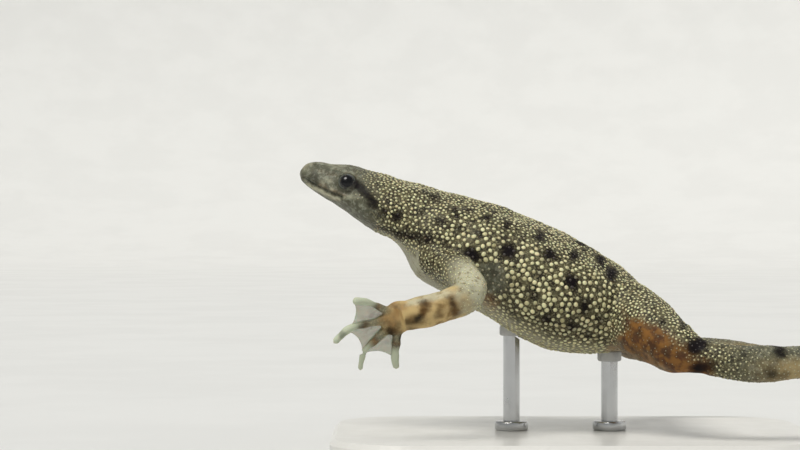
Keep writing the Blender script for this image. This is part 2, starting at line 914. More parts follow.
@dataclass(frozen=True)
class Markings:
    """The blotches, streaks and washes of colour on the skin."""

    view: View = View()
    neck_side: float = -4.5
    flank_side: float = -7.3
    arm_side: float = -11.0
    leg_side: float = -11.0
    head_side: float = -3.9
    neck_seen: tuple[Seen, ...] = (
        Seen(384, 212, 5), Seen(398, 216, 6), Seen(420, 212, 4, 0.7), Seen(440, 222, 5, 0.8),
        Seen(435, 200, 4, 0.6), Seen(455, 212, 5), Seen(458, 228, 5, 0.8), Seen(446, 245, 4, 0.8),
        Seen(470, 222, 3, 0.6), Seen(438, 283, 7, 0.9),
    )
    flank_seen: tuple[Seen, ...] = (
        Seen(488, 218, 4), Seen(481, 236, 4), Seen(471, 256, 9), Seen(507, 226, 5), Seen(508, 252, 8),
        Seen(541, 237, 5), Seen(549, 255, 7), Seen(576, 256, 5), Seen(604, 262, 6), Seen(614, 274, 7),
        Seen(572, 281, 8), Seen(535, 275, 4, 0.6), Seen(533, 295, 6, 0.7), Seen(494, 272, 4, 0.5),
        Seen(583, 306, 7), Seen(546, 317, 7, 0.9), Seen(572, 325, 7, 0.8), Seen(597, 290, 4, 0.6),
        Seen(621, 308, 8), Seen(616, 338, 7), Seen(600, 318, 4, 0.7), Seen(640, 298, 5, 0.8),
        Seen(560, 299, 4, 0.5), Seen(522, 238, 3, 0.6), Seen(590, 336, 5, 0.7),
    )
    arm_seen: tuple[Seen, ...] = (
        Seen(424, 303, 4, 0.6), Seen(418, 318, 5), Seen(409, 321, 4, 0.8), Seen(412, 328, 4, 0.8),
        Seen(391, 331, 5, 0.8), Seen(403, 339, 5), Seen(398, 323, 3, 0.6), Seen(437, 314, 3, 0.4),
        Seen(446, 300, 3, 0.4), Seen(462, 300, 3, 0.35), Seen(472, 288, 3, 0.35),
        Seen(362, 327, 4, 0.6), Seen(345, 334, 3, 0.5), Seen(370, 352, 3, 0.5),
    )
    leg_seen: tuple[Seen, ...] = (
        Seen(664, 322, 4, 0.8), Seen(684, 324, 4, 0.8), Seen(693, 346, 8), Seen(699, 343, 6),
        Seen(696, 368, 8), Seen(708, 365, 5, 0.8), Seen(655, 345, 4, 0.4), Seen(776, 350, 7),
        Seen(768, 374, 6, 0.8), Seen(740, 352, 5, 0.5),
    )
    bars_seen: tuple[SeenStroke, ...] = (
        SeenStroke(((451, 299), (455, 312)), 4), SeenStroke(((425, 300), (422, 313)), 3),
        SeenStroke(((440, 304), (441, 316)), 1.5),
    )
    streak_seen: SeenStroke = SeenStroke(((353, 183), (361, 188), (368, 196), (374, 205)), 4.9)
    arm_light: SeenStroke = SeenStroke(((408, 302), (428, 297), (449, 293)), 3.5)
    crease: Stroke = Stroke(((9.3, -2.2), (11.2, -1.8), (13.9, -0.95)), 0.4)
    mouth: Stroke = Stroke(((1.2, -0.76), (2.6, -0.86), (3.6, -0.86), (4.9, -0.8)), 0.13)
    upper_lip: Stroke = Stroke(((2.3, -0.58), (3.6, -0.6), (4.9, -0.52)), 0.16)
    lip: Stroke = Stroke(((1.3, -1.05), (2.6, -1.14), (3.6, -1.16), (4.6, -1.14)), 0.18)
    canthus: Stroke = Stroke(((1.7, 0.55), (2.6, 0.75), (3.4, 0.85)), 0.12)
    cheek_dots: tuple[Spot, ...] = (
        Spot(2.42, -0.2, 0.22), Spot(3.1, 0.05, 0.2), Spot(5.6, -0.4, 0.2), Spot(6.1, -0.15, 0.16),
        Spot(3.6, -0.5, 0.15), Spot(5.0, -0.75, 0.15),
    )
    snout_spots: tuple[Spot, ...] = (Spot(1.6, -0.35, 0.6, 0.5), Spot(2.9, -1.55, 0.3, 0.4))
    eye_ring: Spot = Spot(4.78, 0.66, 1.0, 0.7)
    eye_brow: Stroke = Stroke(((4.1, 1.36), (4.75, 1.6), (5.35, 1.4)), 0.11)
    rust_edge: tuple[tuple[float, float], ...] = ((33.0, 0.5), (37.0, 0.1), (40.0, -0.6), (42.5, -1.3))
    plate: Spot = Spot(7.05, -1.15, 0.78)
    armpit: Spot = Spot(20.6, -2.1, 1.6)
    armpit_brown: Spot = Spot(21.4, -4.1, 0.8)
    chest_at: tuple[float, float] = (13.7, -3.6)
    back_spots: int = 26
    warp: Ripple = Ripple(5, 1.6)
    warp_up: Ripple = Ripple(6, 1.5)
    patch: Ripple = Ripple(7, 4.0)
    folds: Ripple = Ripple(8, 0.42)
    face_mottle: Ripple = Ripple(31, 0.9, 9)
    back_seed: int = 11
    back_least: Point = (11, -4.5, 0.3)
    back_most: Point = (35, 4.5, 0.7)
    reach: float = 0.12
    toes_from: float = 57.0
    body: BodyForm = BodyForm()
    under_height: Ramp = Ramp(-1.2, -2.2)
    under_across: Ramp = Ramp(0.88, 0.5)
    back_edge: Ramp = Ramp(0.55, 1.25)
    face_end: Ramp = Ramp(10.0, 8.6)
    tip_along: Ramp = Ramp(1.3, -0.3)
    tip_up: Ramp = Ramp(-0.3, 0.3)
    brow_up: Ramp = Ramp(1.15, 1.75)
    brow_end: Ramp = Ramp(4.4, 2.6)
    brow_start: Ramp = Ramp(0.2, 1.0)
    mottle_on: Ramp = Ramp(0.3, 1.2)
    face_grey: Ramp = Ramp(9.4, 5.6)
    throat_up: Ramp = Ramp(-1.35, -2.1)
    warp_from: Ramp = Ramp(6, 10)
    back_up: Ramp = Ramp(2.2, 3.2)
    under_patch: Ramp = Ramp(0.2, 1.3)
    under_low: Ramp = Ramp(0, -3)
    off_middle: Ramp = Ramp(0.2, 1.3)
    far_arm_from: Ramp = Ramp(0.5, 0.62)
    stain_patch: Ramp = Ramp(0.3, 1.0)
    chest_edge: Ramp = Ramp(2.0, 0.4)
    belly_low: Ramp = Ramp(-4.2, -5.6)
    belly_from: Ramp = Ramp(8.5, 12)
    upper_arm_end: Ramp = Ramp(0.72, 0.54)
    upper_arm_start: Ramp = Ramp(0.16, 0.36)
    thigh_start: Ramp = Ramp(32.8, 34.6)
    thigh_end: Ramp = Ramp(43.0, 41.6)
    thigh_up: Ramp = Ramp(0.6, -0.9)
    fold_on: Ramp = Ramp(0.1, 1.1)
    fold_end: Ramp = Ramp(40.5, 37)
    shin_from: Ramp = Ramp(0.6, 0.78)
    shin_low: Ramp = Ramp(-16.9, -18.2)
    wrist_end: Ramp = Ramp(0.44, 0.1)
    wrist_start: Ramp = Ramp(0.0, 0.1)
    forearm_end: Ramp = Ramp(0.84, 0.98)
    thigh_pale: Ramp = Ramp(-2.2, -4.0)
    forearm_from: Ramp = Ramp(0.54, 0.7)
    joint_patch: Ramp = Ramp(-0.2, 0.7)
    shank_grey: Ramp = Ramp(0.52, 0.7)
    finger_clear: Ramp = Ramp(0.25, 0.6)
    toe_clear: Ramp = Ramp(0.3, 0.95)
    fingertip: Ramp = Ramp(0.82, 0.97)

    def below(self, behind: Array, side: Array, height: Array) -> Array:
        """How far each point is on the underside, where the markings give way to a pale ground.

        Args:
            behind: How far behind the snout each point is.
            side: How far out to the side it is.
            height: Its height.

        Returns:
            A share for each point, from 0 to 1.
        """
        rows = np.array(self.body.sections)
        across = np.abs(side) / np.maximum(np.interp(behind, rows[:, 0], rows[:, 4]), 1.0)
        return self.under_height.at(height) * self.under_across.at(across)

    def on_flank(self) -> tuple[Spot, ...]:
        """The body's blotches, on the frog."""
        neck = tuple(seen.spot(self.view, self.neck_side) for seen in self.neck_seen)
        return neck + tuple(seen.spot(self.view, self.flank_side) for seen in self.flank_seen)

    def on_limbs(self) -> tuple[Spot, ...]:
        """The limbs' blotches, on the frog."""
        arm = tuple(seen.spot(self.view, self.arm_side) for seen in self.arm_seen)
        return arm + tuple(seen.spot(self.view, self.leg_side) for seen in self.leg_seen)

    def streak(self) -> Stroke:
        """The dark streak behind the eye, on the frog."""
        return self.streak_seen.stroke(self.view, self.head_side)

    @staticmethod
    def spots(place: Array, marks: Sequence[Spot], shift: float) -> Array:
        """How strong a list of blotches is at each point.

        Args:
            place: Rows of (behind, height), already warped.
            marks: The blotches.
            shift: How far each blotch is moved along the body.

        Returns:
            A strength for each point.
        """
        dark = np.zeros(len(place))
        for i, mark in enumerate(marks):
            moved = mark.behind + shift * math.sin(1 + 2.4 * i)
            raised = mark.height + shift * math.cos(2 + 1.7 * i) * 0.6
            away = np.hypot(place[:, 0] - moved, place[:, 1] - raised) / mark.radius
            dark = np.maximum(dark, mark.strength * (1 - SOFT_EDGE.at(away)))
        return dark

    def back_dark(self, over: Array) -> Array:
        """The seeded blotches along the back.

        Args:
            over: Rows of (behind, side), already warped.

        Returns:
            A darkness for each point.
        """
        random = np.random.default_rng(self.back_seed)
        dark = np.zeros(len(over))
        for at, across, radius in random.uniform(self.back_least, self.back_most, (self.back_spots, 3)):
            away = np.hypot(over[:, 0] - at, over[:, 1] - across) / radius
            dark = np.maximum(dark, 1 - self.back_edge.at(away))
        return dark

    def head(self, flat: Array, points: Array) -> dict[str, Array]:
        """The head's own pattern.

        Args:
            flat: Rows of (behind, height).
            points: Rows of (x, y, z) in the pose.

        Returns:
            The tones it adds, by name.
        """
        behind, height = flat.T
        gate = self.face_end.at(behind)
        tip = self.tip_along.at(behind + 0.2 * self.warp.at(points * 2)) * self.tip_up.at(height)
        brow = self.brow_up.at(height) * self.brow_end.at(behind) * self.brow_start.at(behind)
        dots = self.spots(flat, self.cheek_dots, 0.0)
        plate = self.spots(flat, (self.plate,), 0.0)
        mottle = self.mottle_on.at(self.face_mottle.at(points))
        grey = self.face_grey.at(behind + 0.7 * height) * 0.9
        warped = flat + 0.06 * np.stack([self.warp.at(points * 4), self.warp_up.at(points * 4)], -1)
        dark = np.maximum(0.97 * self.streak().at(warped), 0.35 * self.mouth.at(warped))
        dark = np.maximum(dark, self.spots(flat, (self.eye_ring,), 0.0))
        throat = self.throat_up.at(height) * 0.3
        return {
            "dark": np.maximum.reduce([dark, 0.4 * mottle * (1 - plate), throat]) * gate,
            "pale": np.maximum.reduce([0.5 * tip, 0.85 * self.lip.at(warped), 0.6 * dots, 0.4 * brow,
                                       0.5 * self.eye_brow.at(warped)]) * gate,
            "rust": np.maximum(0.22 * self.upper_lip.at(warped), 0.2 * self.canthus.at(warped)) * gate,
            "grey": np.maximum(grey, plate),
        }

    def tones(self, points: Array, part: Array, along: Array) -> Tones:
        """The tones at points on the skin.

        Args:
            points: Rows of (x, y, z) in the pose.
            part: The number of the part that each point belongs to.
            along: How far along its part each point is, from 0 to 1.

        Returns:
            The tones.
        """
        behind, side, height = unposed(points).T
        flat = np.stack([behind, height], -1)
        bend = np.stack([self.warp.at(points), self.warp_up.at(points)], -1) * self.reach
        ragged = np.stack([self.warp.at(points * 3.7), self.warp_up.at(points * 3.9)], -1) * 0.1
        near = flat + (bend + ragged) * self.warp_from.at(behind)[:, None]
        on_body = part == Part.BODY.value
        on_leg = part == Part.LEG.value
        on_arm = part == Part.ARM.value
        hand = part == Part.HAND.value
        left = side < 0
        face = self.head(flat, points)
        flank_spots = self.on_flank()
        limb_spots = self.on_limbs()
        dark = np.where(left, self.spots(near, flank_spots, 0.0), self.spots(near, flank_spots, 1.2))
        dark = np.maximum(dark, self.spots(near, self.snout_spots, 0.0))
        back = self.back_dark(np.stack([behind, side], -1) + bend) * self.back_up.at(height)
        below = self.below(behind, side, height)
        under = self.under_patch.at(self.patch.at(points)) * self.under_low.at(height)
        body_dark = np.maximum.reduce([dark, back, 0.25 * under, 0.8 * self.crease.at(near),
                                       face["dark"] * self.off_middle.at(np.abs(side))])
        limb_dark = np.where(left, self.spots(near, limb_spots, 0.0),
                             self.spots(near - [[0, 1.0]], limb_spots, 0.8))
        arm_bars = [bar.stroke(self.view, self.arm_side) for bar in self.bars_seen]
        bars = np.maximum.reduce([bar.at(near) for bar in arm_bars]) * on_arm
        far_arm = on_arm * ~left * self.far_arm_from.at(along)
        stains = far_arm * self.stain_patch.at(self.patch.at(points * 2.2))
        light = self.arm_light.stroke(self.view, self.arm_side).at(near) * on_arm
        body_dark = body_dark * (1 - 0.9 * below)
        chest = self.chest_edge.at(np.linalg.norm(near - self.chest_at, axis=1)) * 0.7
        belly = np.maximum(self.belly_low.at(height), below) * self.belly_from.at(behind) * 0.5
        flow = along + 0.035 * self.warp.at(points * 1.6)
        upper = on_arm * self.upper_arm_end.at(flow) * self.upper_arm_start.at(along)
        edge = np.interp(behind, *np.array(self.rust_edge).T) + 0.35 * self.warp.at(points)
        thigh = self.thigh_start.at(behind + 0.4 * self.warp_up.at(points))
        thigh = thigh * self.thigh_end.at(behind) * self.thigh_up.at(height - edge)
        thigh = thigh * (on_body | on_leg)
        folds = self.fold_on.at(self.folds.at(points * (1, 1, 0.2))) * self.fold_end.at(behind)
        shin = on_leg * self.shin_from.at(along) * self.shin_low.at(points[:, 2])
        wrist = self.wrist_end.at(along) * hand
        joint = wrist * self.wrist_start.at(along) + on_arm * self.forearm_end.at(along)
        knuckle = bell(along, 0.5, 0.09) * 0.6 * hand
        pale = np.maximum(np.maximum.reduce([chest, belly, face["pale"]]) * on_body, 0.9 * upper)
        pale = np.maximum(pale, 0.7 * light)
        pale = np.maximum(pale, 0.35 * thigh * self.thigh_pale.at(height - edge))
        tan = np.maximum.reduce([on_arm * self.forearm_from.at(flow), wrist, 0.55 * shin])
        rust = np.maximum.reduce([thigh * (1 - 0.4 * folds), knuckle, 0.7 * bars, 0.7 * stains,
                                  face["rust"] * on_body,
                                  0.6 * joint * self.joint_patch.at(self.patch.at(points * 2.5)),
                                  0.5 * self.spots(near, (self.armpit_brown,), 0.0)])
        armpit = self.spots(near, (self.armpit,), 0.0) * 0.8
        grey = np.maximum(np.maximum(face["grey"], armpit) * on_body,
                          on_leg * self.shank_grey.at(along) * 0.6)
        clear = np.maximum(hand * self.finger_clear.at(along) * (1 - 1.6 * knuckle),
                           (part == Part.FOOT.value) * self.toe_clear.at(along)
                           * smooth_step(points[:, 0], self.toes_from, self.toes_from + 4) * 0.6)
        pale = np.maximum(pale, hand * self.fingertip.at(along) * 0.7)
        limb_dark = np.maximum.reduce([limb_dark, 0.65 * bars, 0.45 * stains])
        body_dark = np.maximum(body_dark, 0.6 * thigh * folds)
        limb_dark = np.maximum(limb_dark, 0.6 * thigh * folds)
        return Tones(np.where(on_body, body_dark, limb_dark), pale, tan, rust, grey, clear)


# Finishes


Colour = tuple[float, float, float]
MIX_SHARE, MIX_UNDER, MIX_OVER, MIX_RESULT = 0, 6, 7, 2


def fill(node: bpy.types.Node, **values: object) -> None:
    """Sets a node's own inputs, by their names with underscores for spaces."""
    for key, value in values.items():
        node.inputs[key.replace("_", " ")].default_value = value


class Paint:
    """A material's node tree, built up step by step."""

    def __init__(self, name: str) -> None:
        """Starts a material with one shader.

        Args:
            name: The material's name.
        """
        self.material = bpy.data.materials.new(name)
        self.material.use_nodes = True
        self.tree = self.material.node_tree
        self.shader = self.tree.nodes["Principled BSDF"]

    def set(self, **values: object) -> None:
        """Sets the shader's own sockets, by their names with underscores for spaces."""
        fill(self.shader, **values)

    def drive(self, name: str, source: bpy.types.NodeSocket) -> None:
        """Links a socket to one of the shader's."""
        self.link(source, self.shader.inputs[name])

    def node(self, kind: str, **settings: object) -> bpy.types.Node:
        """Adds a node.

        Args:
            kind: The node's type.
            **settings: The node's own settings.

        Returns:
            The node.
        """
        made = self.tree.nodes.new(kind)
        for key, value in settings.items():
            setattr(made, key, value)
        return made

    def link(self, source: bpy.types.NodeSocket, target: bpy.types.NodeSocket) -> None:
        """Links two sockets."""
        self.tree.links.new(source, target)

    def noise(self, size: float, detail: float = 3.0, rough: float = 0.55) -> bpy.types.NodeSocket:
        """A noise with features of a size in millimetres.

        Args:
            size: The size of a feature.
            detail: How many finer layers it has.
            rough: How strong the finer layers are.

        Returns:
            The noise's factor socket.
        """
        where = self.node("ShaderNodeTexCoord")
        made = self.node("ShaderNodeTexNoise")
        fill(made, Scale=1 / (size * MM), Detail=detail, Roughness=rough)
        self.link(where.outputs["Object"], made.inputs["Vector"])
        return made.outputs["Fac"]

    def ramp(self, source: bpy.types.NodeSocket, low: float, high: float,
             to_low: float = 0.0, to_high: float = 1.0) -> bpy.types.NodeSocket:
        """Spreads a value's range.

        Args:
            source: The value's socket.
            low: The value that becomes to_low.
            high: The value that becomes to_high.
            to_low: The lowest result.
            to_high: The highest result.

        Returns:
            The result's socket.
        """
        made = self.node("ShaderNodeMapRange", interpolation_type="SMOOTHSTEP")
        self.link(source, made.inputs["Value"])
        fill(made, From_Min=low, From_Max=high, To_Min=to_low, To_Max=to_high)
        return made.outputs["Result"]

    def times(self, first: bpy.types.NodeSocket, second: bpy.types.NodeSocket) -> bpy.types.NodeSocket:
        """The product of two values.

        Args:
            first: The socket of the first value.
            second: The socket of the second value.

        Returns:
            The product's socket.
        """
        made = self.node("ShaderNodeMath", operation="MULTIPLY")
        self.link(first, made.inputs[0])
        self.link(second, made.inputs[1])
        return made.outputs[0]

    def tone(self, name: str) -> bpy.types.NodeSocket:
        """The value painted on the piece under a name."""
        made = self.node("ShaderNodeAttribute", attribute_name=name)
        return made.outputs["Fac"]

    def mix(self, under: object, over: object, share: bpy.types.NodeSocket) -> bpy.types.NodeSocket:
        """Lays one colour over another.

        Args:
            under: A colour, or a socket that gives one.
            over: A colour, or a socket that gives one.
            share: The socket that says how much of the second shows.

        Returns:
            The mixed colour's socket.
        """
        made = self.node("ShaderNodeMix", data_type="RGBA")
        for index, value in ((MIX_UNDER, under), (MIX_OVER, over)):
            if isinstance(value, bpy.types.NodeSocket):
                self.link(value, made.inputs[index])
            else:
                made.inputs[index].default_value = (*value, 1.0)
        self.link(share, made.inputs[MIX_SHARE])
        return made.outputs[MIX_RESULT]

    def blotched(self, base: object, other: object, size: float, low: float, high: float,
                 detail: float = 4.0, rough: float = 0.55) -> bpy.types.NodeSocket:
        """Lays one colour over another in blotches."""
        return self.mix(base, other, self.ramp(self.noise(size, detail, rough), low, high))

    def bump(self, height: bpy.types.NodeSocket, depth: float, strength: float = 1.0) -> None:
        """Raises the surface by a height.

        Args:
            height: The socket of the height, from 0 to 1.
            depth: The depth of the relief in millimetres.
            strength: How much of it shows.
        """
        made = self.node("ShaderNodeBump")
        fill(made, Distance=depth * MM, Strength=strength)
        self.link(height, made.inputs["Height"])
        self.drive("Normal", made.outputs["Normal"])


@dataclass(frozen=True)
class SkinFinish:
    """Damp skin: olive with pale flecks, darker and warmer where the markings say."""

    ground: Colour = (0.095, 0.083, 0.042)
    shade: Colour = (0.022, 0.017, 0.009)
    fleck: Colour = (0.27, 0.25, 0.14)
    dark: Colour = (0.009, 0.007, 0.008)
    pale: Colour = (0.55, 0.53, 0.38)
    pale_deep: Colour = (0.22, 0.19, 0.11)
    tan: Colour = (0.55, 0.4, 0.18)
    tan_deep: Colour = (0.25, 0.16, 0.06)
    rust: Colour = (0.24, 0.105, 0.022)
    rust_deep: Colour = (0.085, 0.034, 0.012)
    grey: Colour = (0.1, 0.1, 0.068)
    grey_pale: Colour = (0.26, 0.265, 0.2)
    clear: Colour = (0.5, 0.54, 0.4)

    def build(self) -> bpy.types.Material:
        """The skin's material.

        Returns:
            The material.
        """
        paint = Paint("frog_skin")
        colour = paint.blotched(self.shade, self.ground, 0.6, 0.4, 0.6, rough=0.65)
        colour = paint.blotched(colour, self.fleck, 0.18, 0.5, 0.64, detail=3, rough=0.6)
        washes = (("grey", paint.blotched(self.grey, self.grey_pale, 0.45, 0.45, 0.66, rough=0.65)),
                  ("tan", paint.blotched(self.tan, self.tan_deep, 1.5, 0.46, 0.66, detail=3)),
                  ("rust", paint.blotched(self.rust, self.rust_deep, 0.8, 0.42, 0.62)),
                  ("pale", paint.blotched(self.pale, self.pale_deep, 0.6, 0.5, 0.72)),
                  ("clear", self.clear), ("dark", self.dark))
        for name, wash in washes:
            colour = paint.mix(colour, wash, paint.tone(name))
        paint.drive("Base Color", colour)
        gloss = paint.ramp(paint.noise(0.5), 0.3, 0.7, 0.5, 0.66)
        paint.drive("Roughness", gloss)
        paint.bump(paint.noise(0.13, 4), 0.05, 0.5)
        sheen = paint.ramp(paint.tone("dark"), 0.0, 0.8, 0.2, 0.03)
        paint.drive("Specular IOR Level", sheen)
        paint.set(Subsurface_Weight=0.06, Subsurface_Scale=0.0004, Coat_Weight=0.02, Coat_Roughness=0.15)
        return paint.material


@dataclass(frozen=True)
class GranuleFinish:
    """Smooth, pearly, cream granules, dimmed in the dark blotches."""

    cream: Colour = (0.78, 0.74, 0.44)
    straw: Colour = (0.34, 0.31, 0.15)
    dark: Colour = (0.05, 0.04, 0.034)
    skirt: Colour = (0.1, 0.088, 0.045)
    grey: Colour = (0.3, 0.28, 0.19)
    rust: Colour = (0.3, 0.17, 0.07)

    def build(self) -> bpy.types.Material:
        """The granules' material.

        Returns:
            The material.
        """
        paint = Paint("skin_granules")
        colour = paint.mix(self.straw, self.cream, paint.tone("shade"))
        for name in ("rust", "grey"):
            colour = paint.mix(colour, getattr(self, name), paint.tone(name))
        colour = paint.mix(self.skirt, colour, paint.ramp(paint.tone("top"), -0.1, 0.75))
        colour = paint.mix(colour, self.dark, paint.tone("dark"))
        paint.drive("Base Color", colour)
        paint.bump(paint.noise(0.08, 2), 0.01, 0.4)
        paint.set(Roughness=0.42, Subsurface_Weight=0.12, Subsurface_Scale=0.0003,
                  Specular_IOR_Level=0.35, Coat_Weight=0.1, Coat_Roughness=0.15)
        return paint.material


@dataclass(frozen=True)
class WebFinish:
    """Thin web that lets light through, with darker patches along its roots."""

    thin: Colour = (0.42, 0.47, 0.33)
    thick: Colour = (0.2, 0.13, 0.055)
    alpha: float = 0.55

    def build(self) -> bpy.types.Material:
        """The web's material.

        Returns:
            The material.
        """
        paint = Paint("web_skin")
        near = paint.tone("root")
        patch = paint.ramp(paint.noise(0.9, 4), 0.42, 0.6)
        colour = paint.mix(self.thin, self.thick, paint.times(near, patch))
        paint.drive("Base Color", colour)
        paint.bump(paint.noise(0.25, 4), 0.03, 0.5)
        paint.set(Roughness=0.35, Alpha=self.alpha, Subsurface_Weight=0.4, Subsurface_Scale=0.0006,
                  Coat_Weight=0.2, Coat_Roughness=0.15)
        return paint.material


@dataclass(frozen=True)
class EyeFinish:
    """A wet eye: black pupil, dark grey iris with gold specks, and a thin pale ring."""

    pupil: Colour = (0.003, 0.003, 0.004)
    iris: Colour = (0.022, 0.023, 0.023)
    speck: Colour = (0.2, 0.16, 0.08)
    ring: Colour = (0.1, 0.11, 0.09)
    pupil_edge: float = 0.6

    def build(self) -> bpy.types.Material:
        """The eye's material.

        Returns:
            The material.
        """
        paint = Paint("frog_eye")
        out = paint.tone("out")
        iris = paint.blotched(self.iris, self.speck, 0.07, 0.58, 0.7, detail=2)
        colour = paint.mix(self.pupil, iris, paint.ramp(out, self.pupil_edge - 0.02, self.pupil_edge + 0.02))
        colour = paint.mix(colour, self.ring, paint.ramp(out, 0.72, 0.78))
        paint.drive("Base Color", colour)
        paint.set(Roughness=0.3, Specular_IOR_Level=0.1, Coat_Weight=0.5, Coat_Roughness=0.02)
        return paint.material


@dataclass(frozen=True)
class PlainFinish:
    """A made or horny surface: two near tones, fine relief, and one gloss."""

    name: str
    colour: Colour
    other: Colour
    grain: float
    relief: float
    rough: float
    metal: float = 0.0
    coat: float = 0.0

    def build(self) -> bpy.types.Material:
        """The surface's material.

        Returns:
            The material.
        """
        paint = Paint(self.name)
        colour = paint.blotched(self.colour, self.other, self.grain, 0.4, 0.62)
        paint.drive("Base Color", colour)
        gloss = paint.ramp(paint.noise(self.grain * 0.5), 0.3, 0.7, self.rough * 0.9, self.rough * 1.15)
        paint.drive("Roughness", gloss)
        paint.bump(paint.noise(self.grain * 0.3, 3), self.relief, 0.5)
        paint.set(Metallic=self.metal, Coat_Weight=self.coat, Coat_Roughness=0.12)
        return paint.material


HORN = PlainFinish("claw_horn", (0.012, 0.01, 0.009), (0.03, 0.024, 0.018), 0.3, 0.01, 0.28, coat=0.3)
STEEL = PlainFinish("stand_steel", (0.58, 0.585, 0.59), (0.55, 0.555, 0.56), 3.0, 0.002, 0.24, metal=1.0)
ACRYLIC = PlainFinish("stand_acrylic", (0.72, 0.71, 0.68), (0.7, 0.69, 0.66), 6.0, 0.01, 0.32, coat=0.2)
RUBBER = PlainFinish("stand_rubber", (0.5, 0.5, 0.49), (0.44, 0.44, 0.43), 0.5, 0.01, 0.6)
PAPER = PlainFinish("studio_paper", (0.72, 0.72, 0.71), (0.7, 0.7, 0.69), 40.0, 0.05, 0.8)


# The skin


@dataclass
class Skin:
    """One skin over body, limbs and digits, with mouth, lids, nostrils and folds."""

    frog: Frog
    markings: Markings
    voxel: float = 0.1
    quick_voxel: float = 0.2
    most_triangles: int = 190000
    lid_ring: float = 0.92
    lid_radius: float = 0.15
    lid_proud: float = 0.4
    mouth_corner: float = 4.95
    mouth_depth: float = 0.19
    mouth_half: float = 0.085
    lip_away: float = 0.26
    lip_half: float = 0.13
    lip_rise: float = 0.07
    nostril: Point = (1.05, 0.85, 1.0)
    nostril_depth: float = 0.24
    nostril_half: float = 0.17
    rim_away: float = 0.34
    rim_half: float = 0.1
    rim_rise: float = 0.06
    lid_crease_away: float = 1.18
    lid_crease_half: float = 0.09
    lid_crease_depth: float = 0.06
    lump: Ripple = Ripple(21, 3.4, 9)
    lump_rise: float = 0.07
    fold: Ripple = Ripple(22, 0.9, 9)
    fold_rise: float = 0.018
    palm_run: tuple[float, float] = (0.9, 2.6)
    palm_half: tuple[float, float] = (1.5, 0.72)
    sole_run: tuple[float, float] = (1.6, 3.0)
    sole_half: tuple[float, float] = (1.2, 0.8)
    root_smoothing: int = 70
    tone_smoothing: int = 3
    mouth_drop: Ramp = Ramp(0.2, 2.6)
    mouth_lift: Ramp = Ramp(3.4, 5.0)
    mouth_start: Ramp = Ramp(0.0, 0.9)
    head_smooth: Ramp = Ramp(9.0, 6.0)
    lump_from: Ramp = Ramp(0.5, 3.0)

    def forms(self) -> tuple[list[bpy.types.Object], Array, Array, Array]:
        """The overlapping forms that the skin goes over.

        Returns:
            The forms, and for each of their vertices its place, part and share of the way along.
        """
        tubes = []
        for side in SIDES:
            tubes += self.frog.limbs(side)
            for fan in (self.frog.hand(side), self.frog.foot(side)):
                tubes += [fan.tube(digit) for digit in fan.digits]
        body = self.frog.body
        along = (len(body.sections) - 1) * body.rings_a_section
        pieces = [Bench.globe("form_body", body.around, along, body.skin)]
        places = [Bench.points(pieces[0])]
        parts = [np.full(len(places[0]), Part.BODY.value)]
        shares = [unposed(places[0])[:, 0] / body.length()]
        for i, tube in enumerate(tubes):
            piece = tube.build(f"form_{i}")
            pieces.append(piece)
            places.append(Bench.points(piece))
            parts.append(np.full(len(places[-1]), tube.part.value))
            away = places[-1][:, None, :] - tube.path[None, :, :]
            nearest = np.linalg.norm(away, axis=2).argmin(1) / (len(tube.path) - 1)
            shares.append(nearest)
        for side in SIDES:
            pieces += [*self.flats(side), self.lid(side)]
        return pieces, np.vstack(places), np.concatenate(parts), np.concatenate(shares)

    def flats(self, side: str) -> list[bpy.types.Object]:
        """The flats of one hand and one foot.

        Args:
            side: Which side of the frog.

        Returns:
            Their pads.
        """
        made = []
        ends = ((self.frog.hand(side), "arm", 0.0, self.palm_run, self.palm_half),
                (self.frog.foot(side), "leg", self.frog.tarsus, self.sole_run, self.sole_half))
        for fan, limb, ahead, (back, front), half in ends:
            axis, across, normal = fan.frame()
            root = np.array(self.frog.joints(limb, side)[2]) + axis * ahead
            made.append(self.pad(root - axis * back, root + axis * front, across, normal, *half))
        return made

    @staticmethod
    def pad(start: Array, end: Array, across: Array, normal: Array, wide: float,
            thick: float) -> bpy.types.Object:
        """A flattened pad between two points.

        Args:
            start: Where it starts.
            end: Where it ends.
            across: The way across it.
            normal: The way through it.
            wide: Its half width.
            thick: Its half thickness.

        Returns:
            The pad.
        """
        def put(share: Array, turn: Array) -> Array:
            """Places on the pad.

            Args:
                share: How far along the pad each one is.
                turn: Each one's angle round it.

            Returns:
                Rows of (x, y, z).
            """
            fat = np.sin(math.pi * share)[:, None]
            run = (0.5 - 0.5 * np.cos(math.pi * share))[:, None]
            side = across * wide * fat * np.cos(turn)[:, None]
            return start + (end - start) * run + side + normal * thick * fat * np.sin(turn)[:, None]

        return Bench.globe("form_pad", 32, 24, put)

    def lid(self, side: str) -> bpy.types.Object:
        """The ring of lid round an eye.

        Args:
            side: Which side of the frog.

        Returns:
            The ring.
        """
        centre, facing = self.frog.eye(side)
        turn = Vector((0, 0, 1)).rotation_difference(Vector(facing)).to_euler()
        Bench.clear()
        bpy.ops.mesh.primitive_torus_add(
            location=centre + facing * self.lid_proud, rotation=turn, major_radius=self.lid_ring,
            minor_radius=self.lid_radius, major_segments=48, minor_segments=14)
        piece = Bench.take("form_lid")
        Bench.set_down(piece)
        return piece

    def mouth_height(self, behind: Array) -> Array:
        """How high the line of the mouth is, over the line from snout to vent."""
        return -0.62 - 0.24 * self.mouth_drop.at(behind) + 0.06 * self.mouth_lift.at(behind)

